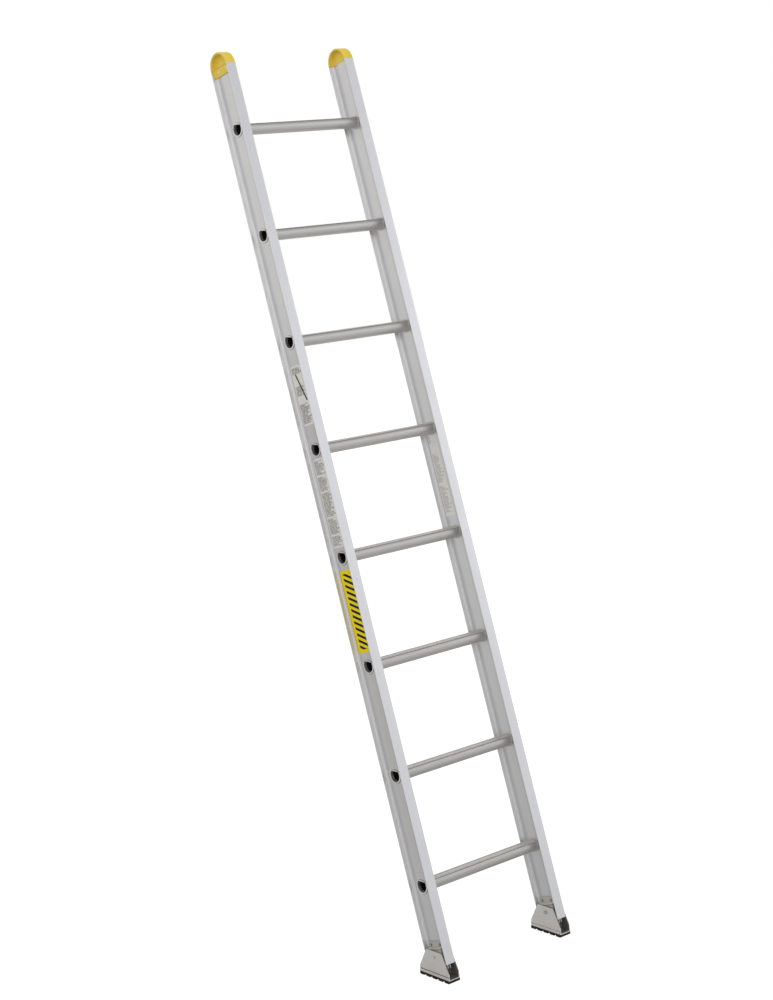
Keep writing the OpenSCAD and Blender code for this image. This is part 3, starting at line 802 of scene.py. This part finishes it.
def shoeSection(top):    # the channel's outline as (x, z), with its plates up to the given height
    low = -shoe["drop"]
    rim, fill, half = shoe["rim"], shoe["fillet"], [(0, low)]
    crease, wide, lip = low + shoe["skirt"], shoe["grooveHalf"], shoe["skirtLip"]
    half += arc((skirtOut - shoe["edge"], low + shoe["edge"]), shoe["edge"], -90, 0)
    half += [(skirtOut, crease - wide - lip), (skirtOut - lip, crease - wide)]
    half += [(shoeOut - shoe["groove"], crease + step) for step in shoe["grooveFloor"]]
    half += [(shoeOut, crease + wide)]
    half += arc((shoeOut - rim, top - rim), rim, 0, 90, 4)
    half += arc((shoeIn + rim, top - rim), rim, 90, 180, 4)
    half += arc((shoeIn - fill, low + shoe["base"] + fill), fill, 0, -90, 4)
    half += [(0, low + shoe["base"])]
    return half + [(-x, z) for x, z in reversed(half[1:-1])]


def pivotPlace(side):
    return Matrix.Translation(pivots[side])


def buildShoe(side):
    bm = bmesh.new()
    loft(bm, [[(x, y, z) for x, z in shoeSection(top)] for y, top in plateTop()])
    piece = meshObject(f"{side}Shoe", bm, pivotPlace(side))
    bore = bmesh.new()
    hole(bore, (0, 0), shoe["bolt"] + shoe["boltGap"], (-2 * skirtOut, 2 * skirtOut), steps=40)
    for depth in treadSpots():
        well(bore, depth, rivet["radius"] + shoe["rivetGap"],
             (-shoe["drop"] - shoe["base"], -shoe["drop"] + 2 * shoe["base"]), steps=40)
    carve(piece, bore)
    for face in piece.data.polygons:
        rise, out = face.center.z + shoe["drop"], abs(face.center.x)
        inward = out < shoeIn + 0.1 * mm and abs(face.normal.y) < 0.5
        grooved = abs(rise - shoe["skirt"]) < 2 * mm and 0 < shoeOut - out < 1.1 * shoe["groove"]
        # painted shade, with a warm dirty tint, on the faces inside the channel
        if inward and 0 < rise < shoe["drop"] * 0.7:
            face.material_index = 1
        elif grooved and sides[side] * face.center.x > 0:    # painted shade in the outer plate's groove
            face.material_index = 2
        elif shoeIn < out < shoeOut and face.normal.z > 0.3 and abs(face.normal.x) < 0.6:
            face.material_index = 2    # painted shade on the plates' upper edges too
    dress(piece, [shoeMetal, shoeShadedInside, grooveShadeMetal], f"{side}_foot", [f"{side}_shoe"],
          edge=0.25 * mm)


tread = {
    "sheet": 2 * mm, "bar": 5.5 * mm, "bars": 5, "gap": 5 * mm, "lip": 0.4 * mm, "round": 3 * mm,
    "ridges": 3, "ridge": 0.35 * mm, "wellGap": 0.1 * mm,
    "ridgeShape": ((0.15, 1), (0.4, 0), (0.75, 0), (0.95, 1)),    # down a ridge, and how far in
}
treadLength = shoe["toe"] + shoe["heel"] + 2 * tread["lip"]
barStep = (treadLength - tread["gap"] * (tread["bars"] - 1)) / tread["bars"]


def barStart(number):
    return -shoe["toe"] - tread["lip"] + number * (barStep + tread["gap"])


def treadSpots():
    return [barStart(k) + barStep / 2 for k in (1, tread["bars"] - 2)]


def treadOutline():    # the rubber's side view about the pivot
    top, turn, front = -shoe["drop"], tread["round"], barStart(0)
    sheet = top - tread["sheet"]
    sole = sheet - tread["bar"]
    points = [(front, top)]
    rises = (top - sole - turn) / tread["ridges"]
    for k in range(tread["ridges"]):    # low ridges across the front end
        for part, inwards in tread["ridgeShape"]:
            points.append((front + inwards * tread["ridge"], top - (k + part) * rises))
    for k in range(tread["bars"]):
        start = barStart(k)
        end = start + barStep
        if k:
            points.append((start, sheet))
        points += arc((start + turn, sole + turn), turn, 180, 270, 5)
        points += arc((end - turn, sole + turn), turn, 270, 360, 5)
        if k < tread["bars"] - 1:
            points.append((end, sheet))
    return points + [(barStart(tread["bars"] - 1) + barStep, top)]


def buildTread(side):
    half = skirtOut + tread["lip"]
    bm = bmesh.new()
    outline = treadOutline()
    loft(bm, [[(x, y, z) for y, z in outline] for x in (-half, half)])
    piece = meshObject(f"{side}Tread", bm, pivotPlace(side))
    wells = bmesh.new()
    for depth in treadSpots():
        well(wells, depth, rivet["head"] + tread["wellGap"],
             (-2 * shoe["drop"], -shoe["drop"] - tread["sheet"]))
    carve(piece, wells)
    dress(piece, treadRubber, f"{side}_foot", [f"{side}_tread"],
          edge=0.5 * mm, steps=3)


for build in (buildShoe, buildTread):
    for side in sides:
        build(side)
print("shoes and treads built")

bolt = {
    "radius": 3 * mm, "head": 4 * mm, "rise": 2.2 * mm, "headSteps": 10, "nutFlats": 9 * mm,
    "nut": 5 * mm, "nutGap": 0.05 * mm, "nutSteps": 72, "end": 1 * mm, "pitch": 1 * mm,
    "thread": 0.35 * mm, "rim": 0.35 * mm, "under": 0.2 * mm, "lead": 0.4 * mm, "point": 0.7 * mm,
    # the nut's turned corners: how far in from an end, and the radius there over half its flats
    "nutCorners": ((0, 0.97), (0.35 * mm, 1.06), (0.8 * mm, 1.16)),
}


def buildBolt(side):
    profile = [(headSeat + x, radius)
               for x, radius in dome(bolt["head"], bolt["rise"], bolt["headSteps"])[:-1]]
    profile += [(headSeat + bolt["rim"], bolt["head"]), (headSeat, bolt["head"] - bolt["under"]),
                (headSeat, bolt["radius"]), (-shoeOut, bolt["radius"])]
    root = bolt["radius"] - bolt["thread"]
    tip = -headSeat - bolt["nut"] - bolt["end"]
    x = -shoeOut - bolt["lead"]
    while x > tip + bolt["pitch"]:
        profile += [(x, root), (x - bolt["pitch"] / 2, bolt["radius"])]
        x -= bolt["pitch"]
    profile += [(tip + bolt["lead"], root), (tip, bolt["radius"] - bolt["point"]), (tip, 0)]
    bm = bmesh.new()
    turned(bm, profile, sides[side])
    piece = meshObject(f"{side}PivotBolt", bm, pivotPlace(side))
    dress(piece, zincMetal, "ladder", [f"{side}_pivot_bolt"], edge=0)


def hexagon(flat, limit, steps):    # a hexagon's outline, cut to a circle at its corners
    turns = [math.tau * k / steps for k in range(steps)]
    reach = [min(flat / math.cos((turn + math.pi / 6) % (math.pi / 3) - math.pi / 6), limit)
             for turn in turns]
    return [(out * math.cos(turn), out * math.sin(turn)) for turn, out in zip(turns, reach)]


def buildNut(side):    # a hexagon whose corners are turned down at both ends
    way, flat, steps = sides[side], bolt["nutFlats"] / 2, bolt["nutSteps"]
    levels = list(bolt["nutCorners"])
    levels += [(bolt["nut"] - x, share) for x, share in reversed(levels)]
    sections = [(x, hexagon(flat, flat * share, steps)) for x, share in levels]
    bore = circle((0, 0), bolt["radius"] + bolt["nutGap"], steps)
    sections += [(bolt["nut"], bore), (0, bore)]
    bm = bmesh.new()
    loft(bm, [[(-way * (headSeat + x), y, z) for y, z in section] for x, section in sections],
         wrap=True)
    piece = meshObject(f"{side}PivotNut", bm, pivotPlace(side))
    dress(piece, zincMetal, "ladder", [f"{side}_pivot_nut"], edge=0)


for side in sides:
    buildBolt(side)
    buildNut(side)
print("pivots built")

# the sleeves, washers and tread rivets keep the frame's own solids, with a finish
for side in sides:
    for node, look in (("pivot_sleeves", zincMetal), ("pivot_washers", nylon),
                       ("tread_rivets", rivetMetal)):
        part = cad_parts[f"{side}_{node}"]
        part.data.materials.clear()
        part.data.materials.append(look)

label = {
    "thick": 0.3 * mm, "gap": 0.5 * mm, "corner": 2 * mm,
    "barPitch": 17 * mm, "barWide": 8 * mm, "barLean": -0.46, "barFrom": 18 * mm, "barTo": 57 * mm,
    "barMargin": 9 * mm, "narrow": 38 * mm, "border": 2.5 * mm,
    "rowPitch": 5.2 * mm, "rowFill": 0.7, "dashes": 150, "rowShift": 7.3, "dashFade": (0.3, 0.55),
    "dashLeast": 0.35, "betweenRows": 0.5,    # how much ink stays between dashes and rows
    "ragged": (-9 * mm, 28.8 * mm), "raggedScale": 0.61,    # where rows start, from the border
    "bays": {    # the bay that each label sits in, and its length
        "yellow_band_label": (3, 230 * mm), "long_clear_label": (4, 250 * mm),
        "short_pale_label": (5, 168 * mm), "narrow_label": (4, 215 * mm),
    },
    "blocks": {    # printed fields of each label, as parts of its length from the bottom
        "long_clear_label": ((0.02, 0.13), (0.15, 0.33), (0.35, 0.62), (0.64, 0.8), (0.82, 0.98)),
        "short_pale_label": ((0.03, 0.36), (0.5, 0.66), (0.86, 0.97)),
        "narrow_label": ((0.05, 0.42), (0.46, 0.86)),
    },
    "rowTone": {"long_clear_label": 0.55, "short_pale_label": 0.6, "narrow_label": 0.3},
    "bar": {    # a plain slanted bar: its run along the label, its depths, half its width
        "short_pale_label": ((0.4, 0.86), (24 * mm, 50 * mm), 3 * mm),
    },
}
filmLook = {
    "shine": 0.15, "cloudScale": 40.0, "cloudContrast": 1.4, "grainScale": 500.0,
    "relief": 0.02 * mm, "rough": (0.32, 0.42),
}
yellowLook = dict(filmLook, light=(255, 232, 0), dark=(248, 222, 0), ink=(22, 22, 58))
# a darker copy of the yellow film: painted shade on the slopes
yellowSlopeShadeLook = dict(yellowLook, light=(222, 196, 0), dark=(212, 186, 0))
paleLook = dict(filmLook, light=(244, 241, 234), dark=(234, 231, 224), ink=(64, 62, 60))
flatFront, flatBack = bandEnd + label["gap"], rail["depth"] - bandEnd - label["gap"]


def labelEnds(node):    # a label sits in the middle of its bay
    bay, length = label["bays"][node]
    centre = (rungRises[bay - 1] + rungRises[bay]) / 2
    return centre - length / 2, centre + length / 2


def within(tree, value, low, high):    # 1 where a value lies between two others
    return times(tree, math2(tree, "GREATER_THAN", value, low),
                 math2(tree, "LESS_THAN", value, high))


def depthAndRise(tree, place):
    split = addNode(tree, "ShaderNodeSeparateXYZ", {"Vector": place})
    return split.outputs["Y"], split.outputs["Z"]


def stripes(tree, place):    # plain slanted bars in a row
    depth, rise = depthAndRise(tree, place)
    slanted = math2(tree, "ADD", rise, times(tree, depth, label["barLean"]))
    step = math2(tree, "FRACT", math2(tree, "DIVIDE", slanted, label["barPitch"]))
    bar = math2(tree, "LESS_THAN", step, label["barWide"] / label["barPitch"])
    low, high = labelEnds("yellow_band_label")
    field = times(tree, within(tree, depth, label["barFrom"], label["barTo"]),
                  within(tree, rise, low + label["barMargin"], high - label["barMargin"]))
    return times(tree, bar, field)


def slantedBar(tree, depth, rise, run, reach, half):    # a bar from one depth to another
    centre = mapped(tree, mapped(tree, rise, run), target=reach)
    off = math2(tree, "ABSOLUTE", math2(tree, "SUBTRACT", depth, centre))
    return times(tree, math2(tree, "LESS_THAN", off, half), within(tree, rise, *run))


def printedRows(node, front):    # rows of dashes that stand for small print, and no words
    low, high = labelEnds(node)
    first, last = front + label["border"], flatBack - label["border"]
    blocks = [[low + share * (high - low) for share in block] for block in label["blocks"][node]]

    def mask(tree, place):
        depth, rise = depthAndRise(tree, place)
        rows = math2(tree, "DIVIDE", rise, label["rowPitch"])
        number = math2(tree, "FLOOR", rows)
        line = math2(tree, "LESS_THAN", math2(tree, "FRACT", rows), label["rowFill"])
        spot = addNode(tree, "ShaderNodeCombineXYZ",
                       {"X": times(tree, depth, label["dashes"]),
                        "Y": times(tree, number, label["rowShift"])})
        words = noise(tree, spot.outputs["Vector"], Scale=1.0, Detail=2.0)
        ends = addNode(tree, "ShaderNodeTexNoise",
                       {"W": number, "Scale": label["raggedScale"], "Detail": 0.0},
                       noise_dimensions="1D")
        start = mapped(tree, ends.outputs["Fac"], target=[first + step for step in label["ragged"]])
        field = times(tree, math2(tree, "GREATER_THAN", depth, start),
                      within(tree, depth, first, last))
        printed = 0
        for block in blocks:
            printed = math2(tree, "ADD", within(tree, rise, *block), printed)
        dashes = mapped(tree, words, label["dashFade"], (label["dashLeast"], 1))
        ink = times(tree, dashes, times(tree, field, printed))
        tone = label["rowTone"][node]
        rows = times(tree, ink,
                     mapped(tree, line, target=(label["betweenRows"] * tone, tone)))
        if node not in label["bar"]:
            return rows
        run, reach, half = label["bar"][node]
        run = [low + share * (high - low) for share in run]
        return math2(tree, "MAXIMUM", rows, slantedBar(tree, depth, rise, run, reach, half))
    return mask


def buildFlatLabel(node, name, side, front):
    low, high = labelEnds(node)
    film = moulded(f"{node.split('_')[0]}Film", paleLook, printedRows(node, front))
    outline = rounded([(y, z, label["corner"]) for y, z in (
        (front, low), (flatBack, low), (flatBack, high), (front, high))])
    bm = bmesh.new()
    loft(bm, [[(-x, y, z) for y, z in outline] for x in (halfWeb + hair, halfWeb + label["thick"])])
    piece = meshObject(name, bm, railPlace(side))
    dress(piece, film, "ladder", [node], edge=0)


def buildBandLabel(node):    # the film follows the channel's floor from band to band
    face = bothHalves([(halfBand, rail["flange"] + rail["band"]), (halfWeb, bandEnd)])
    section = [(x + hair, y) for x, y in face]
    section += [(x + label["thick"], y) for x, y in reversed(face)]
    bm = bmesh.new()
    loft(bm, [[(-x, y, z) for x, y in section] for z in labelEnds(node)])
    piece = meshObject("yellowBandLabel", bm)
    for face in piece.data.polygons:    # painted shade: the slopes are darker
        if abs(face.center.x) > halfWeb + label["thick"] + 0.1 * mm:
            face.material_index = 1
    piece.matrix_world = railPlace("left")
    films = [moulded("yellowFilm", yellowLook, stripes),
             moulded("yellowSlopeShade", yellowSlopeShadeLook, stripes)]
    dress(piece, films, "ladder", [node], edge=0)


buildBandLabel("yellow_band_label")
buildFlatLabel("long_clear_label", "longClearLabel", "left", flatFront)
buildFlatLabel("short_pale_label", "shortPaleLabel", "left", flatFront)
buildFlatLabel("narrow_label", "narrowLabel", "right", flatBack - label["narrow"])
print("labels built")

studio = {
    "floorTone": (184, 184, 184), "floorSize": 30.0, "floorLift": 0.75,
    "glow": 0.14, "glowPlace": (2.1, 0.4, 0), "glowFade": (0.8, 2.3),
    "farGlow": (0.06, 0.3), "farFade": (0.5, 4.0),    # both glows show in metal alone
    "panelAcross": (-1.4, -0.34), "panelHeight": (0.01, 1.65), "panelBack": 0.2, "panelLean": 0.26,
    "panelTone": (0.45, 0.44, 0.425, 1),
    "fill": (0.8, 0.8, 0.8, 1),         # the light that matt surfaces gather from all around
    "front": (0.84, 0.855, 0.91, 1),    # what metal mirrors on the climber's side,
    "beyond": (0.86, 0.845, 0.82, 1),   # on the wall's side,
    "bright": (1.08, 1.05, 1.03, 1),    # past the viewer,
    "brightWay": (-0.62, -0.77, -0.12), "brightFade": (0.7, 0.95),
    "dim": (0.76, 0.74, 0.72, 1),       # behind and to the right,
    "dimWay": (0.65, 0.6, 0.47), "dimFade": (0.0, 0.9),
    "card": (0.3, 0.3, 0.3, 1),         # on a grey card to the left,
    "cardWay": (-0.97, 0.22, -0.08), "cardFade": (0.84, 0.95),
    "ceiling": (0.2, 0.2, 0.2, 1),      # and overhead
    "ceilingWay": (0, 0, 1), "ceilingFade": (0.38, 0.72),
    "keyPower": 24.0, "keySize": 2.6, "keyPlace": (-3.2, -3.4, 4.2),
    "sidePower": 7.0, "sideSize": 2.4, "sidePlace": (3.6, -2.6, 2.6),
    "lightAim": (0, 0, 1.2),
}
white = (1, 1, 1, 1)


def buildFloor():    # matt white that gathers a soft shadow; seen directly it meets the white world
    bm = bmesh.new()
    bmesh.ops.create_grid(bm, x_segments=2, y_segments=2, size=studio["floorSize"] / 2)
    floor = meshObject("floor", bm)
    material, tree, surface, place = newMaterial("floorPaint", {
        "Roughness": 0.7, "Base Color": shade(*studio["floorTone"]), "Emission Color": white})
    rays = tree.nodes.new("ShaderNodeLightPath").outputs
    lift = times(tree, rays["Is Camera Ray"], studio["floorLift"])
    fromGlow = vector2(tree, "DISTANCE", place, studio["glowPlace"])["Value"]
    fromMiddle = vector2(tree, "LENGTH", place)["Value"]
    glow = math2(tree, "ADD", mapped(tree, fromGlow, studio["glowFade"], (studio["glow"], 0)),
                 mapped(tree, fromMiddle, studio["farFade"], studio["farGlow"]))
    mirrored = times(tree, rays["Is Glossy Ray"], glow)
    tree.links.new(math2(tree, "ADD", lift, mirrored), surface["Emission Strength"])
    floor.data.materials.append(material)


def buildPanel():    # a grey panel that leans with the ladder and only shows in the left rail's metal
    left, right = studio["panelAcross"]
    low, high = studio["panelHeight"]
    bm = bmesh.new()
    bm.faces.new([bm.verts.new((x, studio["panelBack"] + z * studio["panelLean"], z))
                  for x, z in ((left, low), (right, low), (right, high), (left, high))])
    panel = meshObject("panel", bm)
    panel.data.materials.append(newMaterial("panelGrey", {
        "Roughness": 1.0, "Base Color": (0, 0, 0, 1), "Emission Color": studio["panelTone"],
        "Emission Strength": 1})[0])
    for rays in ("camera", "diffuse", "transmission", "shadow", "volume_scatter"):
        setattr(panel, f"visible_{rays}", False)


def toneToward(tree, way, toward, fade, under, tone):    # another tone over part of the surroundings
    near = vector2(tree, "DOT_PRODUCT", way, toward)["Value"]
    return mixColour(tree, mapped(tree, near, fade, interpolation_type="SMOOTHSTEP"), under, tone)


def buildWorld():    # white to the eye, with soft differences for the metal to mirror
    world = bpy.data.worlds.new("studio")
    bpy.context.scene.world = world
    world.use_nodes = True
    tree = world.node_tree
    rays = tree.nodes.new("ShaderNodeLightPath").outputs
    way = tree.nodes.new("ShaderNodeTexCoord").outputs["Generated"]
    tone = toneToward(tree, way, (0, 1, 0), (-1, 1), studio["front"], studio["beyond"])
    for name in ("bright", "dim", "card", "ceiling"):
        tone = toneToward(tree, way, studio[name + "Way"], studio[name + "Fade"], tone, studio[name])
    unseen = mixColour(tree, rays["Is Glossy Ray"], studio["fill"], tone)
    shown = mixColour(tree, rays["Is Camera Ray"], unseen, white)
    tree.links.new(shown, tree.nodes["Background"].inputs["Color"])


def softbox(name):
    data = bpy.data.lights.new(f"{name}Light", "AREA")
    data.shape = "DISK"
    data.size = studio[f"{name}Size"]
    data.energy = studio[f"{name}Power"]
    lamp = bpy.data.objects.new(f"{name}Light", data)
    lamp.location = studio[f"{name}Place"]
    aim = Vector(studio["lightAim"]) - Vector(studio[f"{name}Place"])
    lamp.rotation_euler = aim.to_track_quat("-Z", "Y").to_euler()
    bpy.context.scene.collection.objects.link(lamp)


camera = {
    "place": (-3.516, -4.3224, 2.1521), "heading": 38.86, "pitch": 7.93, "roll": 4.75,
    "lens": 72.54, "sensor": 36, "shift": (0.0087, -0.0421), "farthest": 100,
}


def buildCamera():
    data = bpy.data.cameras.new("camera")
    data.lens = camera["lens"]
    data.sensor_width = camera["sensor"]
    data.shift_x, data.shift_y = camera["shift"]
    data.clip_end = camera["farthest"]
    thing = bpy.data.objects.new("camera", data)
    turn = (Matrix.Rotation(math.radians(-camera["heading"]), 4, "Z")
            @ Matrix.Rotation(math.radians(90 - camera["pitch"]), 4, "X")
            @ Matrix.Rotation(math.radians(-camera["roll"]), 4, "Z"))
    thing.matrix_world = Matrix.Translation(camera["place"]) @ turn
    bpy.context.scene.collection.objects.link(thing)
    bpy.context.scene.camera = thing


buildFloor()
buildPanel()
buildWorld()
softbox("key")
softbox("side")
buildCamera()
bpy.context.scene.view_settings.view_transform = "Standard"
print("studio ready")
